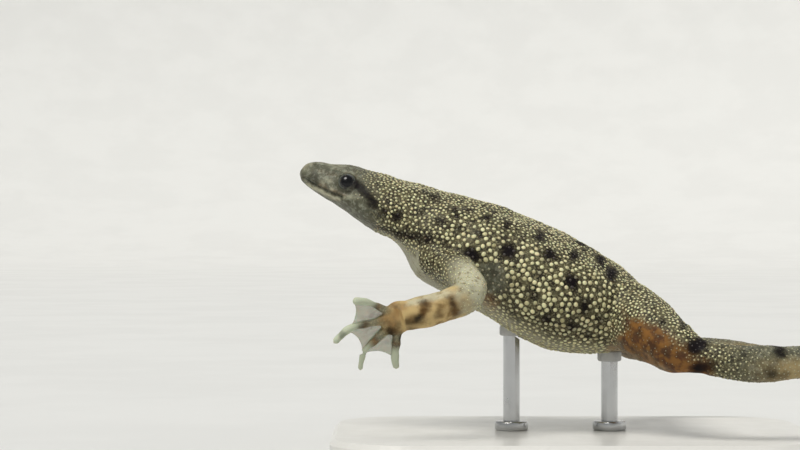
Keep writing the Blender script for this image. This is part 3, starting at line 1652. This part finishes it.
    def carve(self, piece: bpy.types.Object) -> None:
        """Presses the mouth, nostrils and folds into the skin.

        Args:
            piece: The skin, in millimetres.
        """
        points = Bench.points(piece)
        normals = Bench.normals(piece)
        behind, side, height = unposed(points).T
        near_mouth = smooth_step(behind, self.mouth_corner + 0.15, self.mouth_corner - 0.35)
        near_mouth = near_mouth * self.mouth_start.at(behind)
        away = height - self.mouth_height(behind)
        groove = bell(away, 0, self.mouth_half) * self.mouth_depth
        lips = bell(np.abs(away), self.lip_away, self.lip_half) * self.lip_rise
        rise = (lips - groove) * near_mouth
        for sign in SIDES.values():
            spot = np.array(self.nostril) * (1, sign, 1)
            from_spot = np.linalg.norm(np.stack([behind, side, height], -1) - spot, axis=1)
            rise -= self.nostril_depth * bell(from_spot, 0, self.nostril_half)
            rise += self.rim_rise * bell(from_spot, self.rim_away, self.rim_half)
        for side_name in SIDES:
            centre, facing = self.frog.eye(side_name)
            ring = np.linalg.norm(points - (centre + facing * self.lid_proud), axis=1)
            rise -= self.lid_crease_depth * bell(ring, self.lid_crease_away, self.lid_crease_half)
        head = self.head_smooth.at(behind)
        rise += self.lump_rise * self.lump.at(points) * (1 - 0.7 * head) * self.lump_from.at(behind)
        rise += self.fold_rise * self.fold.at(points)
        Bench.place(piece, points + normals * rise[:, None])

    def build(self) -> tuple[bpy.types.Object, "SkinMap"]:
        """The skin, in the row frame, and the map of its parts.

        Returns:
            The piece and its map.
        """
        forms, places, parts, shares = self.forms()
        skin = Bench.join("frog_skin", forms)
        Bench.finish(skin, "REMESH", mode="VOXEL", voxel_size=self.voxel)
        Bench.finish(skin, "SMOOTH", factor=0.5, iterations=5)
        skin_map = SkinMap(places, parts, shares)
        self.blend_roots(skin, skin_map)
        self.carve(skin)
        triangles = sum(len(face.vertices) - 2 for face in skin.data.polygons)
        if triangles > self.most_triangles:
            Bench.finish(skin, "DECIMATE", ratio=self.most_triangles / triangles)
        points = Bench.points(skin)
        part, along = skin_map.find(points)
        tones = self.markings.tones(points, part, along)
        for name in TONE_NAMES:
            Bench.paint(skin, name, soften(skin, getattr(tones, name), self.tone_smoothing))
        Bench.shade(skin)
        return skin, skin_map

    def blend_roots(self, skin: bpy.types.Object, skin_map: "SkinMap") -> None:
        """Smooths the skin more where a limb grows from the body.

        Args:
            skin: The skin, in millimetres.
            skin_map: The map of its parts.
        """
        points = Bench.points(skin)
        near = skin_map.near_root(points)
        group = skin.vertex_groups.new(name="roots")
        for i in np.flatnonzero(near > 0.02):
            group.add([int(i)], float(near[i]), "REPLACE")
        Bench.finish(skin, "SMOOTH", factor=0.6, iterations=self.root_smoothing, vertex_group="roots")
        skin.vertex_groups.clear()


def soften(piece: bpy.types.Object, values: Array, times: int) -> Array:
    """Averages values over neighbouring vertices.

    Args:
        piece: A mesh object.
        values: One value for each vertex.
        times: How many times it is done.

    Returns:
        The softened values.
    """
    edges = np.zeros(len(piece.data.edges) * 2, np.int32)
    piece.data.edges.foreach_get("vertices", edges)
    start, end = edges.reshape(-1, 2).T
    count = np.bincount(start, minlength=len(values)) + np.bincount(end, minlength=len(values))
    for _ in range(times):
        total = np.bincount(start, values[end], len(values)) + np.bincount(end, values[start], len(values))
        values = 0.5 * values + 0.5 * total / np.maximum(count, 1)
    return values


class SkinMap:
    """Finds which part of the frog a point of the skin belongs to."""

    leg_reach = 2.6
    arm_reach = 2.1
    waist = 22.0
    limbs_from = 11.0
    falloff = 0.7

    def __init__(self, places: Array, parts: Array, shares: Array) -> None:
        """Builds the map from the forms under the skin.

        Args:
            places: Rows of points on the forms.
            parts: The number of each point's part.
            shares: How far along its part each point is.
        """
        self.parts = parts
        self.shares = shares
        self.tree = tree_of(places)
        self.body = tree_of(places[parts == Part.BODY.value])

    def find(self, points: Array) -> tuple[Array, Array]:
        """The part and the share along it of each point."""
        index = np.array([self.tree.find(point)[1] for point in points])
        return self.parts[index], self.shares[index]

    def near_root(self, points: Array) -> Array:
        """How close each point of a limb is to the body it grows from.

        Args:
            points: Rows of points in millimetres.

        Returns:
            A weight for each point, from 0 to 1.
        """
        part, _ = self.find(points)
        limb = tree_of(points[part != Part.BODY.value])
        weight = np.zeros(len(points))
        for i, point in enumerate(points):
            if point[0] < self.limbs_from:
                continue
            away = limb.find(point)[2] if part[i] == Part.BODY.value else self.body.find(point)[2]
            reach = self.leg_reach if point[0] > self.waist else self.arm_reach
            weight[i] = max(0.0, 1 - away / reach) ** self.falloff
        return weight


# The granules


class Coat(Enum):
    """The pieces that the granules are joined into."""

    LEFT = "granules_left"
    RIGHT = "granules_right"
    BACK = "granules_back"
    LIMBS = "granules_limbs"


@dataclass
class Granules:
    """Small pearly domes set over the skin, each sunk a little into it."""

    frog: Frog
    markings: Markings
    seed: int = 3
    tries: int = 110000
    quick_tries: int = 30000
    patch: float = 0.003
    sides: int = 8
    body_gap: float = 0.49
    body_radius: float = 0.225
    head_end: float = 8.8
    head_gap: float = 0.3
    arm_gap: float = 0.3
    arm_radius: float = 0.09
    leg_gap: float = 0.31
    leg_radius: float = 0.125
    mouth_top: float = -0.35
    eye_room: float = 1.5
    least: float = 0.03
    back_from: float = 2.2
    widths: tuple[float, float] = (0.82, 1.15)
    heights: tuple[float, float] = (0.4, 0.55)
    lengths: tuple[float, float] = (1.0, 1.22)
    in_dark: float = 0.4
    mostly_cream: float = 0.45
    fine_up: Ramp = Ramp(1.6, 3.2)
    fine_front: Ramp = Ramp(17.5, 13.5)
    fine_low: Ramp = Ramp(-3.2, -4.6)
    head_growth: Ramp = Ramp(3.2, 8.6)
    snout_growth: Ramp = Ramp(0.8, 3.4)
    arm_end: Ramp = Ramp(0.72, 0.58)
    knee: Ramp = Ramp(0.4, 0.7)
    shank_end: Ramp = Ramp(0.75, 1.0)
    chest_end: Ramp = Ramp(20, 16)
    chest_bare: Ramp = Ramp(0.2, 0.6)

    def spacing(self, points: Array, part: Array, along: Array, tones: Tones) -> tuple[Array, Array]:
        """How far apart granules are, and how wide each is.

        Args:
            points: Rows of points on the skin.
            part: The number of each point's part.
            along: How far along its part each point is.
            tones: The markings there.

        Returns:
            The spacings and the radii, in millimetres. A spacing of 0 means that none grow there.
        """
        behind, side, height = unposed(points).T
        high = self.fine_up.at(height)
        front = self.fine_front.at(behind)
        fine = np.maximum(high, front)
        gap = self.body_gap - 0.18 * fine
        radius = self.body_radius - 0.09 * fine
        low = self.fine_low.at(height)
        gap = gap - 0.06 * low
        radius = radius - 0.05 * low
        on_body = part == Part.BODY.value
        head = (behind < self.head_end) & on_body
        gap = np.where(head, self.head_gap, gap)
        small = (0.045 + 0.09 * self.head_growth.at(behind)) * self.snout_growth.at(behind)
        radius = np.where(head, small, radius)
        on_arm = part == Part.ARM.value
        on_leg = part == Part.LEG.value
        gap = np.where(on_arm, self.arm_gap, gap)
        radius = np.where(on_arm, self.arm_radius * self.arm_end.at(along), radius)
        knee = self.knee.at(along)
        gap = np.where(on_leg, self.leg_gap + 0.06 * knee, gap)
        shrunk = self.leg_radius - 0.05 * knee - 0.03 * self.shank_end.at(along)
        radius = np.where(on_leg, shrunk, radius)
        bare = (part == Part.HAND.value) | (part == Part.FOOT.value)
        bare |= head & (height < self.mouth_top)
        plate = np.hypot(behind - self.markings.plate.behind, height - self.markings.plate.height)
        bare |= (plate < self.markings.plate.radius * 1.2) & on_body
        bare |= self.markings.streak().at(np.stack([behind, height], -1)) > 0.3
        for name in SIDES:
            centre, facing = self.frog.eye(name)
            bare |= np.linalg.norm(points - (centre + facing * 0.2), axis=1) < self.eye_room
        chest = tones.pale * on_body * self.chest_end.at(behind)
        radius = radius * (1 - 0.8 * self.chest_bare.at(chest))
        smooth = on_body & (tones.grey > 0.35) & (behind > 12)
        radius = np.where(smooth, radius * 0.55, radius)
        radius = radius * (1 - 0.55 * tones.rust)
        bare |= tones.rust > 0.8
        bare |= radius < self.least
        return np.where(bare, 0, gap), radius

    def scatter(self, skin: bpy.types.Object) -> tuple[Array, Array]:
        """Seeded points all over the skin, with their normals.

        Args:
            skin: The skin, in millimetres.

        Returns:
            Rows of points and rows of normals.
        """
        random = np.random.default_rng(self.seed)
        mesh = skin.data
        mesh.calc_loop_triangles()
        corners = np.zeros(len(mesh.loop_triangles) * 3, np.int32)
        mesh.loop_triangles.foreach_get("vertices", corners)
        corners = corners.reshape(-1, 3)
        points = Bench.points(skin)
        normals = Bench.normals(skin)
        a, b, c = (points[corners[:, k]] for k in range(3))
        area = np.linalg.norm(np.cross(b - a, c - a), axis=1)
        tries = self.tries
        pick = random.choice(len(area), tries, p=area / area.sum())
        u, v = random.uniform(size=(2, tries, 1))
        over = u + v > 1
        u, v = np.where(over, 1 - u, u), np.where(over, 1 - v, v)
        at = a[pick] + (b[pick] - a[pick]) * u + (c[pick] - a[pick]) * v
        facing = unit(normals[corners[pick]].mean(1))
        return at, facing

    @staticmethod
    def settle(points: Array, gap: Array) -> Array:
        """Picks points that keep their spacing.

        Args:
            points: Rows of points.
            gap: The spacing each one asks for, or 0 for none.

        Returns:
            The numbers of the points that stay.
        """
        tree = tree_of(points)
        kept = np.zeros(len(points), bool)
        for i in np.flatnonzero(gap > 0):
            found = tree.find_range(points[i], gap[i])
            kept[i] = not any(kept[j] for _, j, _ in found)
        return np.flatnonzero(kept)

    def dome(self) -> tuple[Array, Array]:
        """One granule, a unit wide, modelled once.

        Returns:
            Its points and its triangles.
        """
        Bench.clear()
        bpy.ops.mesh.primitive_uv_sphere_add(segments=self.sides, ring_count=4, radius=1)
        piece = Bench.take("granule")
        with Bench.editing(piece):
            bpy.ops.mesh.bisect(plane_co=(0, 0, -0.2), plane_no=(0, 0, 1), clear_inner=True)
            bpy.ops.mesh.select_all(action="SELECT")
            bpy.ops.mesh.quads_convert_to_tris()
        points = Bench.points(piece)
        faces = np.array([tuple(face.vertices) for face in piece.data.polygons])
        bpy.data.objects.remove(piece)
        return points, faces

    def build(self, skin: bpy.types.Object, skin_map: SkinMap) -> dict[Coat, bpy.types.Object]:
        """The granules, joined into a few pieces, in millimetres.

        Args:
            skin: The skin, in millimetres.
            skin_map: The map of its parts.

        Returns:
            The pieces.
        """
        points, facing = self.scatter(skin)
        part, along = skin_map.find(points)
        tones = self.markings.tones(points, part, along)
        gap, radius = self.spacing(points, part, along, tones)
        kept = self.settle(points, gap)
        random = np.random.default_rng(self.seed + 1)
        size = radius[kept] * random.uniform(*self.widths, len(kept))
        size = size * (1 - self.in_dark * tones.dark[kept])
        tall = size * random.uniform(*self.heights, len(kept))
        long = size * random.uniform(*self.lengths, len(kept))
        first, second = square_to(facing[kept])
        spin = random.uniform(0, 2 * math.pi, (len(kept), 1))
        first, second = (first * np.cos(spin) + second * np.sin(spin),
                         second * np.cos(spin) - first * np.sin(spin))
        shape, faces = self.dome()
        at = points[kept][:, None, :] + (
            shape[None, :, :1] * (first * long[:, None])[:, None, :]
            + shape[None, :, 1:2] * (second * size[:, None])[:, None, :]
            + shape[None, :, 2:] * (facing[kept] * tall[:, None])[:, None, :])
        shade = random.uniform(0.0, 1.0, len(kept)) ** self.mostly_cream
        back = unposed(points[kept])[:, 2] > self.back_from
        on_body = part[kept] == Part.BODY.value
        left = points[kept][:, 1] < 0
        groups = {Coat.LEFT: on_body & ~back & left, Coat.RIGHT: on_body & ~back & ~left,
                  Coat.BACK: on_body & back, Coat.LIMBS: ~on_body}
        roots = self.unwrap(points[kept], part[kept], along[kept])
        made = {}
        for coat, mask in groups.items():
            chosen = np.flatnonzero(mask)
            offsets = np.arange(len(chosen))[:, None, None] * len(shape)
            all_faces = (faces[None] + offsets).reshape(-1, 3)
            piece = Bench.mesh(coat.value, at[chosen].reshape(-1, 3), all_faces)
            for name, values in (("shade", shade), ("dark", tones.dark[kept]),
                                 ("grey", tones.grey[kept]), ("rust", tones.rust[kept])):
                Bench.paint(piece, name, np.repeat(values[chosen], len(shape)))
            Bench.paint(piece, "top", np.tile(shape[:, 2], len(chosen)))
            spread = roots[chosen][:, None, :] + shape[None, :, :2] * self.patch / 2
            corner = spread.reshape(-1, 2)[all_faces.ravel()]
            layer = piece.data.uv_layers.new(name="OFBake")
            layer.data.foreach_set("uv", corner.astype(np.float32).ravel())
            Bench.shade(piece)
            made[coat] = piece
            LOG.info("%s: %d granules, %d triangles", coat.value, len(chosen), len(all_faces))
        return made

    def unwrap(self, points: Array, part: Array, along: Array) -> Array:
        """Where each root lies on an unwrap of the skin.

        Args:
            points: Rows of points on the skin.
            part: The number of each point's part.
            along: How far along its part each point is.

        Returns:
            Rows of (u, v), from 0 to 1.
        """
        behind, side, height = unposed(points).T
        turn = np.arctan2(height, side) / (2 * math.pi) + 0.5
        from_snout = np.clip(behind / self.frog.body.length(), 0, 1)
        body = np.stack([0.02 + 0.96 * from_snout, 0.02 + 0.56 * turn], -1)
        limb_turn = np.arctan2(points[:, 2] + 14, np.abs(side) - 8) / (2 * math.pi) + 0.5
        lane = (part - 1) + 2 * (side > 0)
        limb = np.stack([0.02 + 0.96 * along, 0.62 + 0.09 * lane + 0.08 * limb_turn], -1)
        return np.where((part == Part.BODY.value)[:, None], body, np.clip(limb, 0, 0.998))


# Webs, eyes and claws


@dataclass
class Webs:
    """The webs of one hand or foot, each a thin sheet with a hollow free edge."""

    name: str
    fan: Fan
    start: float = 0.06
    hollow: float = 0.1
    thick: float = 0.11
    cells: int = 22
    sag: float = 0.1
    crinkle: float = 0.05

    def sheet(self, i: int, first: Array, second: Array, reach: tuple[float, float]) -> bpy.types.Object:
        """One web between two digits.

        Args:
            i: The web's number.
            first: The path of the digit on one side.
            second: The path of the digit on the other side.
            reach: How far along each digit the web goes.

        Returns:
            The web.
        """
        Bench.clear()
        bpy.ops.mesh.primitive_grid_add(x_subdivisions=self.cells, y_subdivisions=self.cells, size=1)
        piece = Bench.take(f"{self.name}_{i}")
        u, v, _ = (Bench.points(piece) + 0.5).T
        edge = 1 - self.hollow * (1 - (2 * v - 1) ** 2)
        share = self.start + u * ((reach[0] * (1 - v) + reach[1] * v) * edge - self.start)
        one, two = between(first, share), between(second, share)
        _, _, normal = self.fan.frame()
        wave = self.sag * np.sin(v * 3 * math.pi) * np.sin(u * math.pi * 0.8)
        wave = wave + self.crinkle * np.sin(u * 14 + v * 5)
        lift = (wave * np.sin(v * math.pi))[:, None] * normal
        Bench.place(piece, one * (1 - v)[:, None] + two * v[:, None] + lift)
        Bench.paint(piece, "root", smooth_step(share, 0.75, 0.25))
        return piece

    def build(self) -> bpy.types.Object:
        """All the webs of the hand or foot, as one piece, in millimetres.

        Returns:
            The piece.
        """
        paths = [self.fan.path(digit) for digit in self.fan.digits]
        sheets = [self.sheet(i, paths[i], paths[i + 1], reach) for i, reach in enumerate(self.fan.webs)]
        piece = Bench.join(self.name, sheets)
        Bench.finish(piece, "SOLIDIFY", thickness=self.thick, offset=0.0)
        Bench.outward(piece)
        Bench.shade(piece)
        return piece


@dataclass
class Eye:
    """An eyeball that bulges a little at its clear front."""

    side: str
    frog: Frog
    bulge: float = 0.04
    bulge_half: float = 0.6

    def build(self) -> bpy.types.Object:
        """The eye, in millimetres.

        Returns:
            The piece.
        """
        centre, facing = self.frog.eye(self.side)
        first, second = (row[0] for row in square_to(facing[None]))
        radius = self.frog.eye_radius

        def put(share: Array, turn: Array) -> Array:
            """Places on the eyeball.

            Args:
                share: How far each one is from the front to the back.
                turn: Each one's angle round the way the eye looks.

            Returns:
                Rows of (x, y, z).
            """
            angle = share * math.pi
            size = radius + self.bulge * bell(angle, 0, self.bulge_half)
            flat = (size * np.sin(angle))[:, None]
            around = first * np.cos(turn)[:, None] + second * np.sin(turn)[:, None]
            return centre + around * flat + facing * (size * np.cos(angle))[:, None]

        piece = Bench.globe(f"eyeball_{self.side}", 48, 36, put)
        points = Bench.points(piece) - centre
        out = np.linalg.norm(np.cross(points, facing), axis=1) / radius
        out = np.where(points @ facing < 0, 1.0, out)
        Bench.paint(piece, "out", out)
        Bench.shade(piece)
        return piece


@dataclass
class Claw:
    """A black, curved claw at the tip of a toe."""

    name: str
    path: Array
    length: float = 1.08
    cap: float = 0.62
    radius: float = 0.33
    droop: float = 0.22
    taper: float = 1.4
    waist: float = 0.28

    def build(self) -> bpy.types.Object:
        """The claw, in millimetres.

        Returns:
            The piece.
        """
        tip = self.path[-1]
        way = unit(tip - self.path[-2])
        down = unit(np.array((0, 0, -1.0)) - way * -way[2])
        share = np.linspace(0, 1, 13)
        path = tip + way * (share[:, None] * (self.cap + self.length) - self.cap)
        path = path + down * (self.droop * share**2)[:, None]
        point = np.sqrt(np.clip(1 - share**self.taper, 0, 1))
        radii = self.radius * point * (1 - self.waist + self.waist * np.cos(share * 3))
        piece = Tube(path, radii, 14, Part.FOOT).build(self.name)
        Bench.shade(piece)
        return piece


# The stand and the studio


@dataclass
class Stand:
    """The rods' small parts: a soft cup under the belly and a collar on the base."""

    cup_radius: float = 1.15
    cup_height: float = 1.0
    collar_radius: float = 1.6
    collar_height: float = 0.9
    cup_sunk: float = 0.6
    upright: float = 0.9
    inset: float = 0.3
    ease: float = 0.22

    def turned(self, name: str, centre: Array, radius: float, height: float) -> bpy.types.Object:
        """A short turned piece with eased edges.

        Args:
            name: The piece's name.
            centre: The middle of its underside, in metres.
            radius: Its radius in millimetres.
            height: Its height in millimetres.

        Returns:
            The piece.
        """
        Bench.clear()
        middle = centre + np.array((0, 0, height * MM / 2))
        bpy.ops.mesh.primitive_cylinder_add(vertices=48, radius=radius * MM, depth=height * MM,
                                            location=middle)
        piece = Bench.take(name)
        Bench.set_down(piece)
        with Bench.editing(piece):
            bpy.ops.mesh.select_all(action="DESELECT")
            edges = bmesh.from_edit_mesh(piece.data)
            for face in edges.faces:
                face.select_set(abs(face.normal.z) > self.upright)
            bmesh.update_edit_mesh(piece.data)
            bpy.ops.mesh.inset(thickness=radius * MM * self.inset)
        width = min(radius, height) * MM * self.ease
        Bench.finish(piece, "BEVEL", width=width, segments=3, limit_method="ANGLE")
        Bench.shade(piece)
        return piece

    def build(self, nodes: dict[str, bpy.types.Object]) -> list[bpy.types.Object]:
        """Dresses the stand's nodes and adds its small parts.

        Args:
            nodes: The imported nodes.

        Returns:
            The new pieces.
        """
        steel = STEEL.build()
        rubber = RUBBER.build()
        dress(nodes["stand_base"], ACRYLIC.build())
        made = []
        for end in ("front", "rear"):
            rod = nodes[f"stand_rod_{end}"]
            dress(rod, steel)
            low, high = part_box(rod.name)
            x, y = (low.x + high.x) / 2, (low.y + high.y) / 2
            base_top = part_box("stand_base")[1].z
            collar = self.turned(f"stand_collar_{end}", np.array((x, y, base_top)),
                                 self.collar_radius, self.collar_height)
            dress(collar, steel)
            cup_from = high.z - self.cup_height * MM * self.cup_sunk
            cup = self.turned(f"stand_cup_{end}", np.array((x, y, cup_from)),
                              self.cup_radius, self.cup_height)
            dress(cup, rubber)
            made += [collar, cup]
        return made


def dress(piece: bpy.types.Object, material: bpy.types.Material) -> None:
    """Gives a piece one material."""
    piece.data.materials.clear()
    piece.data.materials.append(material)


@dataclass(frozen=True)
class Sun:
    """A broad, far light: the way it comes from, its strength, its width in degrees, its colour."""

    name: str
    place: Point
    power: float
    soft: float
    colour: Colour

    def build(self) -> None:
        """Adds the light, aimed at the frog."""
        way = (-Vector(self.place)).to_track_quat("-Z", "Y").to_euler()
        bpy.ops.object.light_add(type="SUN", location=self.place, rotation=way)
        lamp = bpy.context.object
        lamp.name = f"light_{self.name}"
        lamp.data.energy = self.power
        lamp.data.angle = math.radians(self.soft)
        lamp.data.color = self.colour


@dataclass
class Studio:
    """The floor, the backdrop, the lights and the camera."""

    view: View = View()
    suns: tuple[Sun, ...] = (
        Sun("key", (-0.35, -0.42, 1.0), 2.5, 28, (1.0, 0.98, 0.93)),
        Sun("back", (0.5, 0.8, 0.9), 0.5, 50, (0.96, 0.99, 1.0)),
    )
    air: Colour = (0.86, 0.9, 0.93)
    air_strength: float = 0.3
    nearest: float = 0.005
    sensor: float = 36.0
    flat: float = 1.0
    bend: float = 0.5
    wall: float = 0.9

    def build(self) -> None:
        """Sets up the floor, lights and camera."""
        self.backdrop()
        bpy.context.scene.view_settings.view_transform = "Standard"
        for sun in self.suns:
            sun.build()
        world = bpy.data.worlds.new("studio_air")
        bpy.context.scene.world = world
        world.use_nodes = True
        fill(world.node_tree.nodes["Background"], Color=(*self.air, 1), Strength=self.air_strength)
        view = self.view
        place = to_row((view.aim_x, -view.distance, view.aim_z))
        bpy.ops.object.camera_add(location=place, rotation=(math.pi / 2, 0, 0))
        camera = bpy.context.object
        camera.name = "photo_camera"
        camera.data.sensor_width = self.sensor
        camera.data.lens = self.sensor * view.distance / (view.width * view.pixel)
        camera.data.clip_start = self.nearest
        bpy.context.scene.camera = camera

    def backdrop(self) -> None:
        """A pale floor that curves up into a round wall, open at the top."""
        Bench.clear()
        bpy.ops.mesh.primitive_uv_sphere_add(segments=96, ring_count=80, radius=1)
        floor = Bench.take("studio_floor")
        with Bench.editing(floor):
            bpy.ops.mesh.bisect(plane_co=(0, 0, 0), plane_no=(0, 0, 1), clear_outer=True)
            bpy.ops.mesh.select_all(action="SELECT")
            bpy.ops.mesh.flip_normals()
        x, y, z = Bench.points(floor).T
        share = np.arccos(np.clip(-z, -1, 1)) / (math.pi / 2)
        run = share * (self.flat + self.bend * math.pi / 2 + self.wall)
        turn = np.clip((run - self.flat) / self.bend, 0, math.pi / 2)
        out = np.minimum(run, self.flat) + self.bend * np.sin(turn)
        up = self.bend * (1 - np.cos(turn)) + np.maximum(run - self.flat - self.bend * math.pi / 2, 0)
        angle = np.arctan2(y, x)
        Bench.place(floor, np.stack([out * np.cos(angle), out * np.sin(angle), up], -1))
        Bench.shade(floor)
        dress(floor, PAPER.build())
        floor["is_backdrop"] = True


# The whole


FLESH = ("head", "torso", *(f"{name}_{side}" for side in SIDES
                            for name in ("upper_arm", "forearm", "hand", "thigh", "shank", "foot")))
CLAWED_TOES = 3


def settle_in(piece: bpy.types.Object, material: bpy.types.Material) -> None:
    """Moves a finished piece from its bench millimetres to the row frame, and dresses it.

    Args:
        piece: A mesh object, in millimetres from the tip of the snout.
        material: Its material.
    """
    Bench.place(piece, to_row(Bench.points(piece)))
    dress(piece, material)
    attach(piece, ROOT)
    LOG.info("%s: %d faces", piece.name, len(piece.data.polygons))


def build_flesh(frog: Frog) -> None:
    """The skin, the granules and the webs.

    Args:
        frog: The frog's measures.
    """
    markings = Markings()
    skin, skin_map = Skin(frog, markings).build()
    coats = Granules(frog, markings).build(skin, skin_map)
    settle_in(skin, SkinFinish().build())
    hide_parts(*FLESH)
    pearl = GranuleFinish().build()
    for coat, piece in coats.items():
        settle_in(piece, pearl)
    thin = WebFinish().build()
    for side in SIDES:
        for name, fan in (("hand", frog.hand(side)), ("foot", frog.foot(side))):
            settle_in(Webs(f"web_{name}_{side}", fan).build(), thin)


def build_eyes_and_claws(frog: Frog) -> None:
    """The eyes, and the claws on the inner toes.

    Args:
        frog: The frog's measures.
    """
    wet = EyeFinish().build()
    horn = HORN.build()
    for side in SIDES:
        eye = Eye(side, frog).build()
        settle_in(eye, wet)
        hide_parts(f"eye_{side}")
        foot = frog.foot(side)
        for i, digit in enumerate(foot.digits[:CLAWED_TOES], 1):
            claw = Claw(f"horn_{side}_{i}", foot.path(digit)).build()
            settle_in(claw, horn)
            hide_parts(f"claw_{side}_{i}")


def corners(box: tuple[Vector, Vector]) -> list[list[float]]:
    """A box's two corners as plain lists."""
    return [[float(value) for value in corner] for corner in box]


def main() -> None:
    """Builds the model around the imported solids."""
    logging.basicConfig(level=logging.INFO, format="%(name)s: %(message)s")
    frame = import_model()
    solids_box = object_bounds()
    Bench.clear()
    frog = Frog()
    Studio().build()
    build_flesh(frog)
    build_eyes_and_claws(frog)
    for piece in Stand().build(frame["nodes"]):
        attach(piece, ROOT)
    Bench.clear()
    {"solids": corners(solids_box), "dressed": corners(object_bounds())}


if __name__ == "__main__":
    main()
